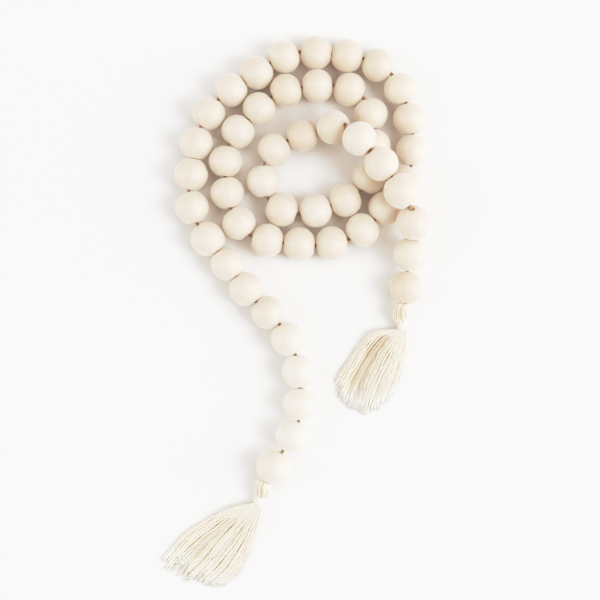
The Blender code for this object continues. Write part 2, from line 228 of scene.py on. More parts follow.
# A tassel's head, in millimetres: its sections from the last bead to the roots of the threads.
HEAD_COLUMNS = ("x", "y", "height", "half_width", "half_thick")
RIGHT_HEAD = (
    (64.8, 4.4, 9.3, 4.2, 4.2),
    (63.8, 2.2, 8.4, 4.9, 4.9),
    (63.2, -0.6, 7.3, 4.9, 4.7),
    (63.4, -2.7, 6.5, 4.1, 3.8),
    (64.4, -4.5, 6.1, 2.9, 2.8),
    (64.9, -6.7, 5.5, 2.3, 2.2),
    (64.8, -8.9, 4.9, 2.5, 2.3),
    (64.3, -10.6, 4.7, 3.2, 2.4),
)
LEFT_HEAD = (
    (-17.4, -100.1, 9.3, 4.1, 4.1),
    (-17.9, -102.1, 8.4, 4.8, 4.8),
    (-18.4, -104.6, 7.3, 4.7, 4.6),
    (-18.9, -106.5, 6.5, 4.0, 3.7),
    (-19.4, -108.2, 6.1, 2.9, 2.8),
    (-20.2, -110.2, 5.5, 2.3, 2.2),
    (-20.9, -112.2, 4.9, 2.5, 2.3),
    (-21.6, -113.8, 4.7, 3.2, 2.4),
)
MOUTH_RADIUS = 2.7 * MM
MOUTH_GAP = 0.45 * MM
NECK_SECTION = 6

# The skirt's left edge, middle and right edge, in millimetres, at equal steps from roots to tips.
SKIRT_COLUMNS = ("left_x", "left_y", "middle_x", "middle_y", "right_x", "right_y")
RIGHT_SKIRT = (
    (60.2, -9.3, 63.9, -10.4, 67.2, -11.4),
    (48.2, -10.6, 57.3, -18.6, 67.2, -20.8),
    (38.7, -19.8, 51.4, -29.4, 65.2, -31.2),
    (30.9, -31.0, 45.6, -42.0, 62.4, -41.2),
    (24.4, -41.2, 40.6, -57.2, 58.2, -49.4),
)
LEFT_SKIRT = (
    (-24.0, -112.6, -21.5, -114.2, -18.9, -116.2),
    (-36.3, -115.6, -29.3, -122.2, -21.6, -127.8),
    (-51.1, -123.0, -38.7, -134.0, -26.6, -141.8),
    (-64.9, -132.2, -49.3, -146.4, -32.2, -153.6),
    (-78.2, -147.0, -60.4, -158.2, -39.8, -160.9),
)

# Valleys between the locks of a skirt: the place across it, from -1 at its left edge to 1 at its
# right, the half width, the depth as a share of the skirt's height, and the share of the length
# at which the valley opens.
VALLEY_COLUMNS = ("across", "half_width", "depth", "opens_at")
RIGHT_VALLEYS = (
    (-0.58, 0.10, 0.88, 0.12),
    (-0.36, 0.12, 0.90, 0.09),
    (-0.08, 0.15, 0.38, 0.20),
    (0.33, 0.07, 0.30, 0.45),
)
LEFT_VALLEYS = (
    (-0.57, 0.06, 0.50, 0.22),
    (-0.42, 0.09, 0.60, 0.16),
    (0.02, 0.05, 0.30, 0.35),
    (0.30, 0.07, 0.50, 0.50),
)

# The skirt's threads lie in layers, one on another, and each lies anywhere within its layer. Each
# one's twist starts a share of a turn on from the last, and it gets thinner at its end.
LEFT_SEED = 11
RIGHT_SEED = 12
THREAD_LAYERS = 7
LAYER_FILL = 0.999
THREADS_ACROSS = 36
TOP_LAYERS = 2
TOP_THREADS = 26
THREAD_RADIUS = 0.60 * MM
THREAD_UNEVEN = 0.12
THREAD_SIDES = 8
THREAD_STEPS = 26
THREAD_PLIES = 2
THREAD_PITCH = 3.4 * MM
PLY_DEPTH = 0.10
TWIST_APART = 0.618
THIN_FROM = 0.94
THIN_BY = 0.3

# The heap of threads: how high it lies from the roots on, and how it falls to its edges and tips.
NECK_FILL = 0.8
ROOT_HALF_THICK = 2.4 * MM
ROOT_HEIGHT = 4.4 * MM
SKIRT_HEIGHT = 5.0 * MM
VALLEY_SINK = 0.60
EDGE_DROP = 0.60
TIP_DROP = 0.55
SETTLED_LOW = 0.25
SETTLED_HIGH = 0.60
HEIGHT_UNEVEN = 0.22 * MM
HEIGHT_UNEVEN_BY = 1 / 10

# How the threads wander together across the skirt, and how each sways on its own. Both grow to the
# full at a share of the skirt's length.
WANDER = 0.10
WANDER_BY = 1 / 2
WANDER_ACROSS = 3.5
WANDER_ALONG = 1.6
WANDER_DEEP = 2.0
WIDEST = 1.02
SWAY = 0.25 * MM
SWAY_BY = 1 / 3
SWAY_UNEVEN = (0.3, 1.3)
WAVE_LENGTH = 14 * MM
WAVE_UNEVEN = (0.7, 1.4)
SKIRT_LENGTH = 56 * MM
HEADING_STEP = 0.02

# How long the threads are, as shares of the skirt's length: locks of them end together.
LONGEST = 1.02
LENGTH_UNEVEN = 0.03
TOP_SHORTER = 0.05
LOCK_WIDTH = 0.28
LOCK_LENGTH = 0.18

# Each thread's end opens into strands and loose fibres. They drift and curl away from its heading,
# less up and down than sideways, and get thinner.
LOOSE_SHORTEST = 0.45
LOOSE_DRIFT = 0.55
LOOSE_DRIFT_UP = 0.5
LOOSE_CURL = 0.45
LOOSE_CURL_UP = 0.4
LOOSE_THIN_BY = 0.6
LOOSE_TIPWARD = (0.9, 1.0)
STRANDS = 3
STRAND_RADIUS = 0.30 * MM
STRAND_LENGTH = 3.2 * MM
STRAND_SPREAD = 0.35
STRAND_SIDES = 5
STRAND_STEPS = 6
FIBRES = 2
FIBRE_RADIUS = 0.14 * MM
FIBRE_LENGTH = 2.6 * MM
FIBRE_SPREAD = 0.60
FIBRE_SIDES = 3
FIBRE_STEPS = 5
FLUFF_PLIES = 1
FLUFF_PITCH = 3.0 * MM

# Folded yarn laid over the head, and the thread wound round its neck.
FOLDS = 26
FOLD_RADIUS = 0.52 * MM
FOLD_SHIFT = 0.2
FOLD_BOW = (0.6, 1.3)
FOLD_SINK = 0.35
FOLD_UNEVEN = 0.80
FOLD_DEEPEST = 0.80
FOLD_TWIST = 0.45
FOLD_STEPS = 26
HEAD_SIDES = 20
WINDS = 8
WIND_RADIUS = 0.33 * MM
WIND_PITCH = 0.64 * MM
WIND_STEPS = 20
WIND_SIDES = 8
WIND_PLIES = 2
WIND_TWIST_PITCH = 1.6 * MM
WIND_CLEAR = 0.30 * MM


# Shared helpers


def add_piece(name, data, material):
    piece = bpy.data.objects.new(name, data)
    bpy.context.scene.collection.objects.link(piece)
    data.materials.append(material)
    return piece


def table_rows(columns, table):
    return [dict(zip(columns, row)) for row in table]


def smooth_step(t):
    t = min(1.0, max(0.0, t))
    return t * t * (3.0 - 2.0 * t)


def curve_through(knots, points, t):
    """The point at t on a smooth curve that passes each point at its knot."""
    last = len(knots) - 1
    k = next(i for i in range(last) if t <= knots[i + 1] or i == last - 1)

    def slope(j):
        if j == 0:
            return (points[1] - points[0]) / (knots[1] - knots[0])
        if j == last:
            return (points[last] - points[last - 1]) / (knots[last] - knots[last - 1])
        before = knots[j] - knots[j - 1]
        after = knots[j + 1] - knots[j]
        rise = (points[j] - points[j - 1]) / before
        fall = (points[j + 1] - points[j]) / after
        return (rise * after + fall * before) / (before + after)

    span = knots[k + 1] - knots[k]
    u = (t - knots[k]) / span
    return (
        points[k] * (2 * u**3 - 3 * u**2 + 1)
        + slope(k) * (span * (u**3 - 2 * u**2 + u))
        + points[k + 1] * (3 * u**2 - 2 * u**3)
        + slope(k + 1) * (span * (u**3 - u**2))
    )


def even_path(points, step):
    """Points a step apart on a smooth curve through the given points."""
    knots = [0.0]
    for a, b in zip(points, points[1:]):
        knots.append(knots[-1] + (b - a).length)
    count = max(2, round(knots[-1] / step))
    return [curve_through(knots, points, knots[-1] * i / count) for i in range(count + 1)]


class Tubes:
    """Gathers many tubes into one mesh, with the way round and the way along each as UV."""

    def __init__(self):
        self.points = []
        self.faces = []
        self.uvs = []
        self.tipward = []
        self.depth = []

    def add(
        self,
        path,
        radii,
        sides,
        tipward=(0.0, 0.0),
        depth=0.0,
        lobes=0,
        lobe_depth=0.0,
        lobe_pitch=1.0,
        twist_start=0.0,
    ):
        """A closed tube along path. tipward runs from its first value to its second along the tube,
        depth, one value or one for each point, says how deep it lies in the heap, from 0 to 1, and
        twist_start is the length of twist that has gone before."""
        path = np.array([tuple(p) for p in path])
        count = len(path)
        tangents = np.gradient(path, axis=0)
        tangents /= np.linalg.norm(tangents, axis=1)[:, None]
        along = np.concatenate(([0.0], np.cumsum(np.linalg.norm(np.diff(path, axis=0), axis=1))))
        along += twist_start
        side = np.cross(tangents[0], (0.0, 0.0, 1.0))
        if np.linalg.norm(side) < NEARLY_UPRIGHT:
            side = np.cross(tangents[0], (1.0, 0.0, 0.0))
        angles = 2 * np.pi * np.arange(sides) / sides
        base = len(self.points)
        self.depth.extend(np.repeat(np.broadcast_to(depth, count), sides).tolist())
        for i in range(count):
            side = side - tangents[i] * side.dot(tangents[i])
            side /= np.linalg.norm(side)
            up = np.cross(side, tangents[i])
            swell = 1 + lobe_depth * np.cos(lobes * angles + 2 * np.pi * along[i] / lobe_pitch)
            ring = path[i] + radii[i] * swell[:, None] * (
                np.cos(angles)[:, None] * side + np.sin(angles)[:, None] * up
            )
            self.points.extend(ring.tolist())
            share = i / (count - 1)
            self.tipward.extend([tipward[0] + (tipward[1] - tipward[0]) * share] * sides)
        for i in range(count - 1):
            low, high = base + i * sides, base + (i + 1) * sides
            for j in range(sides):
                k = (j + 1) % sides
                self.faces.append((low + j, high + j, high + k, low + k))
                a, b = j / sides, (j + 1) / sides
                self.uvs += [(a, along[i]), (a, along[i + 1]), (b, along[i + 1]), (b, along[i])]
        first = list(range(base, base + sides))
        last = list(range(base + (count - 1) * sides, base + count * sides))
        for cap, v in ((first, along[0]), (last[::-1], along[-1])):
            self.faces.append(tuple(cap))
            self.uvs += [(0.5, v)] * sides

    def mesh(self, name):
        mesh = bpy.data.meshes.new(name)
        mesh.from_pydata(self.points, [], self.faces)
        unwrapped = mesh.uv_layers.new(name="UVMap")
        scaled = np.array(self.uvs, dtype=np.float32)
        scaled[:, 1] /= MM
        unwrapped.data.foreach_set("uv", scaled.ravel())
        for measure, values in (("tipward", self.tipward), ("depth", self.depth)):
            mark = mesh.attributes.new(measure, "FLOAT", "POINT")
            mark.data.foreach_set("value", np.array(values, dtype=np.float32))
        mesh.shade_smooth()
        mesh.set_sharp_from_angle(angle=math.radians(SHARP_EDGE))
        mesh.validate()
        return mesh


# The beads


def meet(bead, following):
    """Sets the facing ends of two beads so that the inner edges of their flats all but touch."""
    chord = following["middle"] - bead["middle"]
    flats = 0.0
    reach = 0.0
    for one in (bead, following):
        bend = one["axis"].angle(chord)
        flats += BEAD_FLAT * BEAD_RADIUS * one["size"] * math.sin(bend)
        reach += one["size"] * math.cos(bend)
    half = (chord.length - BEAD_APART - flats) / reach
    half = min(BEAD_LONGEST, max(BEAD_SHORTEST, half))
    bead["after"] = half * bead["size"]
    following["before"] = half * following["size"]


def bead_places():
    """Each bead's middle, its hole's direction along the strand and its size, from the solids."""
    places = []
    for i in range(1, BEAD_COUNT + 1):
        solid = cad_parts[f"bead_{i:02d}"]
        corners = [tuple(v.co) for v in solid.data.vertices]
        points = np.unique(np.round(corners, MATCH_DIGITS), axis=0)
        middle = points.mean(axis=0)
        _, directions = np.linalg.eigh(np.cov((points - middle).T))
        # The corners of the solid spread most along its hole.
        axis = directions[:, -1]
        size = np.abs((points - middle) @ axis).max() / SOLID_HALF_LENGTH
        places.append({"middle": Vector(middle), "axis": Vector(axis), "size": float(size)})
    for i, place in enumerate(places):
        before = places[max(0, i - 1)]["middle"]
        after = places[min(len(places) - 1, i + 1)]["middle"]
        if place["axis"].dot(after - before) < 0:
            place["axis"].negate()
        place["before"] = place["after"] = BEAD_END * place["size"]
    for bead, following in zip(places, places[1:]):
        meet(bead, following)
    return places


def round_corner(before, corner, after, size, steps):
    """Points on a rounded corner between two straight runs of a profile."""
    start = corner + (before - corner).normalized() * size
    end = corner + (after - corner).normalized() * size
    points = []
    for i in range(steps + 1):
        t = i / steps
        points.append(start * (1 - t) ** 2 + corner * (2 * t * (1 - t)) + end * t**2)
    return points


def bead_profile(radius, half):
    """Half of a bead's section from inside its mouth to its middle, as (along the hole, out)."""
    face = math.asin(BEAD_FLAT)
    axis = half / math.cos(face)
    ball = []
    for i in range(BEAD_BANDS + 1):
        angle = face + (math.pi / 2 - face) * i / BEAD_BANDS
        ball.append(Vector((axis * math.cos(angle), radius * math.sin(angle))))
    mouth = Vector((half, HOLE_RADIUS))
    inside = Vector((half - HOLE_DEPTH_SHOWN, HOLE_RADIUS))
    end = round_corner(inside, mouth, ball[0], RIM_ROUND, RIM_STEPS)
    end += round_corner(mouth, ball[0], ball[1], RIM_ROUND, RIM_STEPS)
    return end + ball[1:]


def bead_mesh(name, radius, place, rng):
    """One bead with its hole along X, closed through the hole and not quite true from the lathe."""
    near = bead_profile(radius, place["after"])
    far = [Vector((-p.x, p.y)) for p in bead_profile(radius, place["before"])]
    profile = near + far[-2::-1]
    wall = []
    for i in range(1, HOLE_BANDS):
        share = i / HOLE_BANDS
        wall.append(Vector((far[0].x * (1 - share) + near[0].x * share, HOLE_RADIUS)))
    profile += wall
    offset = Vector([rng.uniform(-LATHE_PLACES, LATHE_PLACES) for _ in range(3)])
    points = []
    for x, r in profile:
        for j in range(BEAD_SIDES):
            angle = 2 * math.pi * j / BEAD_SIDES
            point = Vector((x, r * math.cos(angle), r * math.sin(angle)))
            wander = noise.noise(point / LATHE_WAVE + offset) * LATHE_WANDER
            points.append(point * (1 + wander / radius))
    faces = []
    for i in range(len(profile)):
        low, high = i * BEAD_SIDES, (i + 1) % len(profile) * BEAD_SIDES
        for j in range(BEAD_SIDES):
            k = (j + 1) % BEAD_SIDES
            faces.append((low + j, low + k, high + k, high + j))
    mesh = bpy.data.meshes.new(name)
    mesh.from_pydata(points, [], faces)
    tone = mesh.attributes.new("tone", "FLOAT", "POINT")
    tone.data.foreach_set("value", [place["tone"]] * len(points))
    mesh.shade_smooth()
    return mesh


def add_beads(places, wood):
    rng = random.Random(SEED)
    for i, place in enumerate(places, start=1):
        name = f"bead_{i:02d}"
        # A bead's tone is partly painted light and shade, where it is listed in ODD_TONES.
        place["tone"] = USUAL_TONE + ODD_TONES.get(i, 0.0) + rng.gauss(0, TONE_SPREAD)
        mesh = bead_mesh(f"{name}_turned", BEAD_RADIUS * place["size"], place, rng)
        bead = add_piece(f"{name}_turned", mesh, wood)
        along = place["axis"]
        across = Vector((0, 0, 1)).cross(along).normalized()
        turn = Matrix((along, across, along.cross(across))).transposed().to_4x4()
        roll = Matrix.Rotation(rng.uniform(0, 2 * math.pi), 4, "X")
        bead.matrix_world = Matrix.Translation(place["middle"]) @ turn @ roll
        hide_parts(name)
        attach(bead, BODY)


# The string


def add_string(places, cotton):
    """The string runs straight through each bead and bends in the gaps."""
    first, last = places[0], places[-1]
    reach = MOUTH_GAP + STRING_INTO_HEAD
    route = [first["middle"] - first["axis"] * (first["before"] + reach)]
    for place in places:
        route.append(place["middle"] - place["axis"] * (STRING_STRAIGHT * place["before"]))
        route.append(place["middle"] + place["axis"] * (STRING_STRAIGHT * place["after"]))
    route.append(last["middle"] + last["axis"] * (last["after"] + reach))
    path = even_path(route, STRING_STEP)
    tubes = Tubes()
    tubes.add(
        path,
        [STRING_RADIUS] * len(path),
        STRING_SIDES,
        lobes=STRING_PLIES,
        lobe_depth=STRING_PLY_DEPTH,
        lobe_pitch=STRING_PITCH,
    )
    string = add_piece("laid_string", tubes.mesh("laid_string"), cotton)
    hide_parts("string")
    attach(string, BODY)


# The tassels and their ties


def across_and_up(forward):
    """The two directions of a section that faces forward: level across it, and up it."""
    across = forward.cross(Vector((0, 0, 1))).normalized()
    return across, across.cross(forward)


def head_rings(rows, exit_point, exit_direction):
    """The middle, forward direction and half sizes of each section of a head, its mouth first."""
    middles = [exit_point + exit_direction * MOUTH_GAP]
    middles += [Vector((row["x"], row["y"], row["height"])) * MM for row in rows]
    rings = [(middles[0], exit_direction, MOUTH_RADIUS, MOUTH_RADIUS)]
    for i, row in enumerate(rows, start=1):
        forward = (middles[min(i + 1, len(rows))] - middles[i - 1]).normalized()
        rings.append((middles[i], forward, row["half_width"] * MM, row["half_thick"] * MM))
    return rings


def ring_point(ring, angle, sink):
    """A place on a section's outline, sunk a little below it."""
    middle, forward, half_width, half_thick = ring
    across, up = across_and_up(forward)
    return (
        middle
        + across * (math.cos(angle) * (half_width - sink))
        + up * (math.sin(angle) * (half_thick - sink))
    )


def add_head(name, rings, yarn):
    """The tassel's head: a core of yarn, and the folded yarns laid side by side over it."""
    rng = random.Random(SEED)
    knots = list(range(len(rings)))
    tubes = Tubes()
    core = [ring[0] for ring in rings]
    radii = [(ring[2] + ring[3]) / 2 - FOLD_RADIUS for ring in rings]
    tubes.add(core, radii, HEAD_SIDES)
    for n in range(FOLDS):
        start = 2 * math.pi * (n + rng.uniform(-FOLD_SHIFT, FOLD_SHIFT)) / FOLDS
        bow = rng.uniform(*FOLD_BOW)
        sunk = rng.random()
        line = []
        for k, ring in enumerate(rings):
            share = k / (len(rings) - 1)
            angle = start + FOLD_TWIST * bow * share
            line.append(ring_point(ring, angle, FOLD_RADIUS * (FOLD_SINK + FOLD_UNEVEN * sunk)))
        last = len(rings) - 1
        path = [curve_through(knots, line, last * i / FOLD_STEPS) for i in range(FOLD_STEPS + 1)]
        # The more a fold is sunk, the more painted shade it gets.
        tubes.add(path, [FOLD_RADIUS] * len(path), THREAD_SIDES, depth=FOLD_DEEPEST * sunk**2)
    head = add_piece(f"{name}_folded_head", tubes.mesh(f"{name}_folded_head"), yarn)
    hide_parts(name)
    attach(head, BODY)


def skirt_lines(rows):
    """The skirt's left edge, middle and right edge, each as its points from roots to tips."""
    return [
        [Vector((row[f"{side}_x"], row[f"{side}_y"], 0)) * MM for row in rows]
        for side in ("left", "middle", "right")
    ]


def skirt_point(skirt, share, u):
    """A place on the skirt from above: share runs from roots to tips, u from -1 to 1 across it."""
    last = len(skirt[0]) - 1
    knots = [i / last for i in range(last + 1)]
    left, middle, right = (curve_through(knots, line, share) for line in skirt)
    return left * (u * (u - 1) / 2) + middle * (1 - u * u) + right * (u * (u + 1) / 2)


def valley_depth(valleys, u, share):
    """How far the heap of threads has sunk at a place on the skirt, from 0 to 1."""
    left_over = 1.0
    for valley in valleys:
        opened = smooth_step((share - valley["opens_at"]) / valley["opens_at"])
        off = (u - valley["across"]) / valley["half_width"]
        left_over *= 1 - valley["depth"] * opened * math.exp(-off * off)
    return 1 - left_over


def skirt_height(valleys, u, share):
    """How high the threads are heaped at a place on the skirt."""
    heap = SKIRT_HEIGHT * (1 - EDGE_DROP * u * u) * (1 - TIP_DROP * share)
    return heap * (1 - VALLEY_SINK * valley_depth(valleys, u, share))


def thread_path(u, level, length, skirt, rings, valleys, rng):
    """One thread, out from under the tie and along the skirt to its tip, and how deep it lies."""
    path = []
    depths = [1 - level, 1 - level]
    lift = rng.uniform(-HEIGHT_UNEVEN, HEIGHT_UNEVEN)
    rise = 2 * level - 1
    inward = math.sqrt(max(0.0, 1 - rise * rise))
    for middle, forward, half_width, half_thick in rings[NECK_SECTION:NECK_SECTION + 2]:
        across, up = across_and_up(forward)
        aside = across * (u * half_width * inward)
        path.append(middle - aside + up * (rise * half_thick * NECK_FILL))
    turn = rng.uniform(0, 2 * math.pi)
    sway = SWAY * rng.uniform(*SWAY_UNEVEN)
    wave = WAVE_LENGTH * rng.uniform(*WAVE_UNEVEN)
    settled_at = SETTLED_LOW + (SETTLED_HIGH - SETTLED_LOW) * level
    root_z = ROOT_HEIGHT + rise * ROOT_HALF_THICK
    for i in range(THREAD_STEPS + 1):
        share = length * i / THREAD_STEPS
        drift_at = Vector((u * WANDER_ACROSS, share * WANDER_ALONG, level * WANDER_DEEP))
        spread = u + noise.noise(drift_at) * WANDER * smooth_step(share / WANDER_BY)
        spread = max(-WIDEST, min(WIDEST, spread))
        place = skirt_point(skirt, share, spread)
        heading = (skirt_point(skirt, share + HEADING_STEP, spread) - place).normalized()
        side = Vector((-heading.y, heading.x, 0))
        phase = turn + 2 * math.pi * share * SKIRT_LENGTH / wave
        place += side * (math.sin(phase) * sway * smooth_step(share / SWAY_BY))
        lying = THREAD_RADIUS + level * skirt_height(valleys, spread, share)
        lying += lift * smooth_step(share / HEIGHT_UNEVEN_BY)
        settled = smooth_step(share / settled_at)
        place.z = max(THREAD_RADIUS, lying * settled + root_z * (1 - settled))
        path.append(place)
        # The deeper the thread lies, the more painted shade it gets.
        depths.append(1 - level * (1 - valley_depth(valleys, spread, share)))
    return path, depths


def any_direction(spread, up_share, rng):
    """A random direction about spread long, with up_share of that up and down."""
    return Vector((rng.gauss(0, 1), rng.gauss(0, 1), rng.gauss(0, up_share))) * spread


def loose_path(start, heading, radius, length, spread, steps, rng):
    """A loose strand or fibre that curls away from a thread's end: its points and its radii."""
    drift = any_direction(spread, LOOSE_DRIFT_UP, rng)
    curl = any_direction(spread, LOOSE_CURL_UP, rng)
    reach = length * rng.uniform(LOOSE_SHORTEST, 1.0)
    points = []
    radii = []
    for i in range(steps + 1):
        t = i / steps
        astray = drift * (t**2 * LOOSE_DRIFT) + curl * (t**3 * LOOSE_CURL)
        point = start + (heading * t + astray) * reach
        point.z = max(radius, point.z)
        points.append(point)
        radii.append(radius * (1 - LOOSE_THIN_BY * t))
    return points, radii


def add_skirt(name, rings, skirt, valleys, seed, yarn, fluff):
    """The tassel's threads in their layers, and the strands and fibres at their ends."""
    rng = random.Random(seed)
    threads = Tubes()
    ends = Tubes()
    for layer in range(THREAD_LAYERS):
        across = TOP_THREADS if layer >= THREAD_LAYERS - TOP_LAYERS else THREADS_ACROSS
        for n in range(across):
            u = -1 + 2 * (n + rng.random()) / across
            level = (layer + rng.random() * LAYER_FILL) / THREAD_LAYERS
            lock = noise.noise(Vector((u / LOCK_WIDTH, seed, level)))
            length = 1 + lock * LOCK_LENGTH + rng.uniform(-LENGTH_UNEVEN, LENGTH_UNEVEN)
            length = min(LONGEST, length) - TOP_SHORTER * level
            path, depths = thread_path(u, level, length, skirt, rings, valleys, rng)
            radius = THREAD_RADIUS * rng.uniform(1 - THREAD_UNEVEN, 1 + THREAD_UNEVEN)
            shares = [i / (len(path) - 1) for i in range(len(path))]
            thinned = [smooth_step((share - THIN_FROM) / (1 - THIN_FROM)) for share in shares]
            threads.add(
                path,
                [radius * (1 - THIN_BY * t) for t in thinned],
                THREAD_SIDES,
                tipward=(0.0, 1.0),
                depth=depths,
                lobes=THREAD_PLIES,
                lobe_depth=PLY_DEPTH,
                lobe_pitch=THREAD_PITCH,
                twist_start=(layer * across + n) * TWIST_APART % 1 * THREAD_PITCH,
            )
            heading = (path[-1] - path[-3]).normalized()
            start = path[-1] - heading * radius
            for _ in range(STRANDS):
                line = loose_path(
                    start, heading, STRAND_RADIUS, STRAND_LENGTH, STRAND_SPREAD, STRAND_STEPS, rng
                )
                ends.add(*line, STRAND_SIDES, tipward=LOOSE_TIPWARD)
            for _ in range(FIBRES):
                line = loose_path(
                    start, heading, FIBRE_RADIUS, FIBRE_LENGTH, FIBRE_SPREAD, FIBRE_STEPS, rng
                )
                ends.add(*line, FIBRE_SIDES, tipward=LOOSE_TIPWARD)
    for part, tubes, material in (("threads", threads, yarn), ("frayed_ends", ends, fluff)):
        piece = add_piece(f"{name}_{part}", tubes.mesh(f"{name}_{part}"), material)
        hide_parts(name)
        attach(piece, BODY)


def add_tie(name, rings, thread):
    """Thread wound round the neck, turn beside turn."""
    middle, forward, neck_radius, _ = rings[NECK_SECTION]
    across, up = across_and_up(forward)
    count = WINDS * WIND_STEPS
    radius = neck_radius + WIND_CLEAR + WIND_RADIUS
    path = []
    for i in range(count + 1):
        angle = 2 * math.pi * i / WIND_STEPS
        along = (i / count - 0.5) * (WINDS - 1) * WIND_PITCH
        outward = across * math.cos(angle) + up * math.sin(angle)
        path.append(middle + forward * along + outward * radius)
    tubes = Tubes()
    tubes.add(path, [WIND_RADIUS] * len(path), WIND_SIDES)
    tie = add_piece(f"{name}_wound", tubes.mesh(f"{name}_wound"), thread)
    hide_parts(name)
    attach(tie, BODY)


# Materials


def new_material(name, roughness, specular, sheen=0.0, subsurface=0.0, reach=0.0):
    material = bpy.data.materials.new(name)
    material.use_nodes = True
    shader = material.node_tree.nodes["Principled BSDF"]
    shader.inputs["Roughness"].default_value = roughness
    shader.inputs["Sheen Weight"].default_value = sheen
    shader.inputs["Sheen Roughness"].default_value = SHEEN_ROUGHNESS
    shader.inputs["Specular IOR Level"].default_value = specular
    shader.inputs["Subsurface Weight"].default_value = subsurface
    shader.inputs["Subsurface Radius"].default_value = SUBSURFACE_SPREAD
    shader.inputs["Subsurface Scale"].default_value = reach
    return material, shader


def math_node(tree, operation, *values, clamp=False):
    node = tree.nodes.new("ShaderNodeMath")
    node.operation = operation
    node.use_clamp = clamp
    for socket, value in zip(node.inputs, values):
        if isinstance(value, (int, float)):
            socket.default_value = value
        else:
            tree.links.new(value, socket)
    return node.outputs[0]


def mixed_colour(tree, share, first, second):
    node = tree.nodes.new("ShaderNodeMix")
    node.data_type = "RGBA"
    tree.links.new(share, node.inputs[0])
    for socket, value in ((node.inputs[6], first), (node.inputs[7], second)):
        if isinstance(value, tuple):
            socket.default_value = (*value, 1.0)
        else:
            tree.links.new(value, socket)
    return node.outputs[2]


def stretched(tree, vector, scale):
    mapping = tree.nodes.new("ShaderNodeMapping")
    mapping.inputs["Scale"].default_value = scale
    tree.links.new(vector, mapping.inputs["Vector"])
    return mapping.outputs["Vector"]


def noise_at(tree, vector, scale, detail=2.0, roughness=0.5):
    node = tree.nodes.new("ShaderNodeTexNoise")
    node.inputs["Scale"].default_value = scale
    node.inputs["Detail"].default_value = detail
    node.inputs["Roughness"].default_value = roughness
    tree.links.new(vector, node.inputs["Vector"])
    return node.outputs["Fac"]


def between(tree, value, low, high):
    """0 below low, 1 above high, and a straight ramp from one to the other."""
    node = tree.nodes.new("ShaderNodeMapRange")
    node.inputs["From Min"].default_value = low
    node.inputs["From Max"].default_value = high
    tree.links.new(value, node.inputs["Value"])
    return node.outputs["Result"]


def attribute(tree, name):
    node = tree.nodes.new("ShaderNodeAttribute")
    node.attribute_name = name
    return node.outputs["Fac"]


def add_bump(tree, shader, height, strength, depth):
    bump = tree.nodes.new("ShaderNodeBump")
    bump.inputs["Strength"].default_value = strength
    bump.inputs["Distance"].default_value = depth
    tree.links.new(height, bump.inputs["Height"])
    tree.links.new(bump.outputs["Normal"], shader.inputs["Normal"])


def wood_material():
    """Bleached hardwood: soft growth rings, short pores along the grain, and beads that differ."""
    material, shader = new_material(
        "bleached_wood_turned",
        roughness=WOOD_ROUGHNESS,
        specular=WOOD_SPECULAR,
        sheen=WOOD_SHEEN,
        subsurface=WOOD_SUBSURFACE,
        reach=WOOD_REACH,
    )
    tree = material.node_tree
    info = tree.nodes.new("ShaderNodeObjectInfo")
    coordinates = tree.nodes.new("ShaderNodeTexCoord")
    shift = tree.nodes.new("ShaderNodeVectorMath")
    shift.operation = "MULTIPLY_ADD"
    tree.links.new(info.outputs["Random"], shift.inputs[0])
    shift.inputs[1].default_value = BEAD_SHIFT
    tree.links.new(coordinates.outputs["Object"], shift.inputs[2])
    place = shift.outputs[0]

    rings = tree.nodes.new("ShaderNodeTexWave")
    rings.wave_type = "RINGS"
    rings.rings_direction = "X"
    rings.inputs["Scale"].default_value = RING_SCALE
    rings.inputs["Distortion"].default_value = RING_DISTORTION
    rings.inputs["Detail"].default_value = RING_DETAIL
    rings.inputs["Detail Scale"].default_value = RING_DETAIL_SCALE
    tree.links.new(stretched(tree, place, RING_STRETCH), rings.inputs["Vector"])
    pore_noise = noise_at(tree, stretched(tree, place, PORE_STRETCH), PORE_SCALE, PORE_DETAIL)
    pores = between(tree, pore_noise, PORE_FROM, PORE_TO)
    clouds = noise_at(tree, place, CLOUD_SCALE, CLOUD_DETAIL)
    tone = between(tree, attribute(tree, "tone"), 0.0, 1.0)

    plain = mixed_colour(tree, tone, WOOD_WHITE, WOOD_TAN)
    ring_strength = math_node(tree, "MULTIPLY_ADD", tone, RING_SHARE_BY_TONE, RING_SHARE)
    ring_share = math_node(tree, "MULTIPLY", rings.outputs["Fac"], ring_strength)
    grained = mixed_colour(tree, ring_share, plain, WOOD_RING)
    cloud_share = math_node(tree, "MULTIPLY", clouds, CLOUD_SHARE)
    clouded = mixed_colour(tree, cloud_share, grained, WOOD_CLOUD)
    pore_share = math_node(tree, "MULTIPLY", pores, PORE_SHARE)
    colour = mixed_colour(tree, pore_share, clouded, WOOD_PORE)
    tree.links.new(colour, shader.inputs["Base Color"])
    roughness = math_node(tree, "MULTIPLY_ADD", clouds, CLOUD_ROUGHNESS, WOOD_ROUGHNESS)
    tree.links.new(roughness, shader.inputs["Roughness"])
    height = math_node(tree, "SUBTRACT", rings.outputs["Fac"], pores)
    add_bump(tree, shader, height, WOOD_BUMP, WOOD_BUMP_DEPTH)
    return material


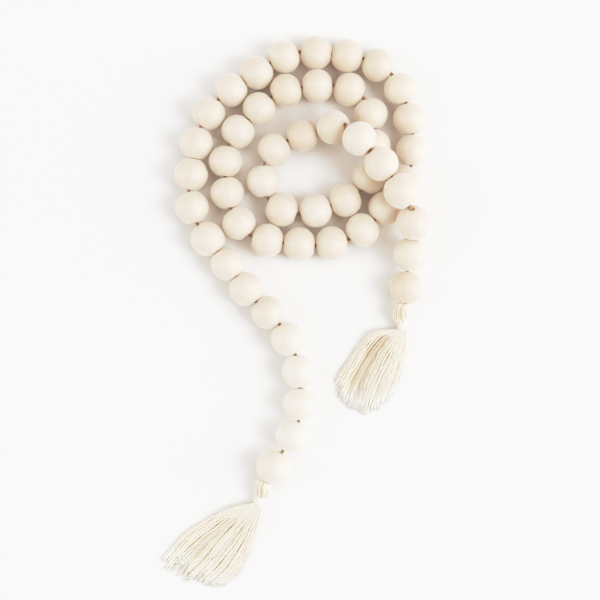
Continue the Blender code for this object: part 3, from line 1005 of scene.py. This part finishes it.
def twist_group():
    """Twisted cotton: slanting plies and fine fuzz, from the ways round and along the yarn."""
    group = bpy.data.node_groups.new("twisted_cotton", "ShaderNodeTree")
    face = group.interface
    for name in ("Plies", "Turns per mm", "Fuzz"):
        face.new_socket(name, in_out="INPUT", socket_type="NodeSocketFloat")
    face.new_socket("Light", in_out="INPUT", socket_type="NodeSocketColor")
    face.new_socket("Shade", in_out="INPUT", socket_type="NodeSocketColor")
    face.new_socket("Colour", in_out="OUTPUT", socket_type="NodeSocketColor")
    face.new_socket("Height", in_out="OUTPUT", socket_type="NodeSocketFloat")
    entry = group.nodes.new("NodeGroupInput")
    leave = group.nodes.new("NodeGroupOutput")
    coordinates = group.nodes.new("ShaderNodeTexCoord")
    parts = group.nodes.new("ShaderNodeSeparateXYZ")
    group.links.new(coordinates.outputs["UV"], parts.inputs[0])
    around = math_node(group, "MULTIPLY", parts.outputs["X"], entry.outputs["Plies"])
    along = math_node(group, "MULTIPLY", parts.outputs["Y"], entry.outputs["Turns per mm"])
    turn = math_node(group, "MULTIPLY", math_node(group, "ADD", around, along), 2 * math.pi)
    ply = math_node(group, "MULTIPLY_ADD", math_node(group, "SINE", turn), 0.5, 0.5)
    place = coordinates.outputs["Object"]
    fine = noise_at(group, place, FUZZ_SCALE, FUZZ_DETAIL, FUZZ_ROUGHNESS)
    fuzz = math_node(group, "MULTIPLY", fine, entry.outputs["Fuzz"])
    height = math_node(group, "ADD", ply, fuzz)
    # Painted shade: the lower a ply's surface lies in its groove, the darker its colour.
    sunk = math_node(group, "SUBTRACT", GROOVE_BELOW, height)
    groove_shade = math_node(group, "MULTIPLY", sunk, GROOVE_SHADE_SHARE, clamp=True)
    patches = math_node(group, "MULTIPLY", noise_at(group, place, PATCH_SCALE), PATCH_SHARE)
    shade = math_node(group, "ADD", groove_shade, patches, clamp=True)
    colour = mixed_colour(group, shade, entry.outputs["Light"], entry.outputs["Shade"])
    group.links.new(colour, leave.inputs["Colour"])
    group.links.new(height, leave.inputs["Height"])
    return group


def cotton_material(name, group, plies, pitch, light, shade):
    """Cotton with painted shade where it lies deep, and whiter at its open ends."""
    material, shader = new_material(
        name,
        roughness=COTTON_ROUGHNESS,
        specular=COTTON_SPECULAR,
        sheen=COTTON_SHEEN,
        subsurface=COTTON_SUBSURFACE,
        reach=COTTON_REACH,
    )
    tree = material.node_tree
    twist = tree.nodes.new("ShaderNodeGroup")
    twist.node_tree = group
    twist.inputs["Plies"].default_value = plies
    twist.inputs["Turns per mm"].default_value = MM / pitch
    twist.inputs["Fuzz"].default_value = FUZZ
    twist.inputs["Light"].default_value = (*light, 1.0)
    twist.inputs["Shade"].default_value = (*shade, 1.0)
    # Painted shade, darker and warmer, where the cotton lies deep.
    deep = between(tree, attribute(tree, "depth"), DEEP_FROM, DEEP_TO)
    deep_shade_share = math_node(tree, "MULTIPLY", deep, DEEP_SHADE_SHARE)
    colour = mixed_colour(tree, deep_shade_share, twist.outputs["Colour"], COTTON_DEEP_SHADE)
    near_tip = between(tree, attribute(tree, "tipward"), TIP_FROM, 1.0)
    tip_share = math_node(tree, "MULTIPLY", near_tip, TIP_SHARE)
    colour = mixed_colour(tree, tip_share, colour, COTTON_TIP)
    tree.links.new(colour, shader.inputs["Base Color"])
    add_bump(tree, shader, twist.outputs["Height"], COTTON_BUMP, COTTON_BUMP_DEPTH)
    return material


# Floor, light, print and camera


def add_floor():
    mesh = bpy.data.meshes.new("floor")
    corners = [(x * FLOOR_HALF, y * FLOOR_HALF, 0) for x, y in ((-1, -1), (1, -1), (1, 1), (-1, 1))]
    mesh.from_pydata(corners, [], [(0, 1, 2, 3)])
    material, shader = new_material("pale_floor", FLOOR_ROUGHNESS, FLOOR_SPECULAR)
    shader.inputs["Base Color"].default_value = (*FLOOR_COLOUR, 1.0)
    floor = add_piece("floor", mesh, material)


def add_area_light(name, place, size, power, colour):
    data = bpy.data.lights.new(name, "AREA")
    data.shape = "DISK"
    data.size = size
    data.energy = power
    data.color = colour
    light = bpy.data.objects.new(name, data)
    light.location = place
    light.rotation_euler = (-place).to_track_quat("-Z", "Y").to_euler()
    bpy.context.scene.collection.objects.link(light)


def add_lights():
    world = bpy.data.worlds.new("white_room")
    world.use_nodes = True
    tree = world.node_tree
    background = tree.nodes["Background"]
    background.inputs["Color"].default_value = (*WHITE, 1.0)
    directions = tree.nodes.new("ShaderNodeTexCoord")
    parts = tree.nodes.new("ShaderNodeSeparateXYZ")
    tree.links.new(directions.outputs["Generated"], parts.inputs[0])
    overhead = between(tree, parts.outputs["Z"], ROOM_LOW_TO, ROOM_OVERHEAD_FROM)
    strength = math_node(tree, "MULTIPLY_ADD", overhead, ROOM_OVERHEAD - ROOM_LOW, ROOM_LOW)
    tree.links.new(strength, background.inputs["Strength"])
    bpy.context.scene.world = world
    for light in table_rows(LIGHT_COLUMNS, LIGHTS):
        azimuth, elevation = math.radians(light["azimuth"]), math.radians(light["elevation"])
        place = LIGHT_DISTANCE * Vector((
            math.cos(elevation) * math.cos(azimuth),
            math.cos(elevation) * math.sin(azimuth),
            math.sin(elevation),
        ))
        add_area_light(light["name"], place, light["size"], light["power"], light["colour"])


def printed(tone):
    """The tone that the print shows for a tone of the scene."""
    if tone < SHOULDER:
        return tone
    risen = SHOULDER_REACH * (1 - math.exp(-(tone - SHOULDER) / SHOULDER_REACH))
    return min(PAPER_WHITE, SHOULDER + risen)


def warmed(tone, gain):
    """The tone of red or blue, where the print's darks are warm."""
    return tone * (1 + gain * max(0.0, 1 - tone / WARM_BELOW))


def add_print_curve():
    settings = bpy.context.scene.view_settings
    settings.view_transform = "Standard"
    settings.use_curve_mapping = True
    mapping = settings.curve_mapping
    mapping.white_level = (BRIGHTEST, BRIGHTEST, BRIGHTEST)
    points = mapping.curves[CURVE_ALL].points
    points[-1].location = (1.0, printed(BRIGHTEST))
    for i in range(1, SHOULDER_STEPS):
        share = i / SHOULDER_STEPS
        points.new(share, printed(share * BRIGHTEST))
    for curve, gain in ((CURVE_RED, WARM_RED), (CURVE_BLUE, WARM_BLUE)):
        points = mapping.curves[curve].points
        for i in range(1, WARM_STEPS):
            share = i / WARM_STEPS
            points.new(share, warmed(share * BRIGHTEST, gain) / BRIGHTEST)
    mapping.update()


def add_camera():
    data = bpy.data.cameras.new("camera")
    data.angle = math.radians(FIELD_OF_VIEW)
    data.clip_start = CAMERA_NEAR
    camera = bpy.data.objects.new("camera", data)
    camera.location = CAMERA_PLACE
    bpy.context.scene.collection.objects.link(camera)
    bpy.context.scene.camera = camera


def main():
    add_camera()
    places = bead_places()
    add_beads(places, wood_material())
    twist = twist_group()
    yarn = cotton_material(
        "cotton_yarn_twisted", twist, THREAD_PLIES, THREAD_PITCH, YARN_LIGHT, YARN_SHADE
    )
    # The string is coloured with painted shade.
    cord = cotton_material(
        "cotton_string_laid", twist, STRING_PLIES, STRING_PITCH, STRING_LIGHT, STRING_SHADE
    )
    thread = cotton_material(
        "cotton_thread_wound", twist, WIND_PLIES, WIND_TWIST_PITCH, THREAD_LIGHT, THREAD_SHADE
    )
    fluff = cotton_material(
        "cotton_fluff", twist, FLUFF_PLIES, FLUFF_PITCH, FLUFF_LIGHT, FLUFF_SHADE
    )
    add_string(places, cord)
    for name, place, outward, head, skirt, valleys, seed in (
        ("left", places[0], -1, LEFT_HEAD, LEFT_SKIRT, LEFT_VALLEYS, LEFT_SEED),
        ("right", places[-1], 1, RIGHT_HEAD, RIGHT_SKIRT, RIGHT_VALLEYS, RIGHT_SEED),
    ):
        axis = place["axis"] * outward
        end = "before" if outward < 0 else "after"
        exit_point = place["middle"] + axis * place[end]
        rings = head_rings(table_rows(HEAD_COLUMNS, head), exit_point, axis)
        add_head(f"tassel_{name}", rings, yarn)
        add_skirt(
            f"tassel_{name}",
            rings,
            skirt_lines(table_rows(SKIRT_COLUMNS, skirt)),
            table_rows(VALLEY_COLUMNS, valleys),
            seed,
            yarn,
            fluff,
        )
        add_tie(f"tie_{name}", rings, thread)
    add_floor()
    add_lights()
    add_print_curve()


main()
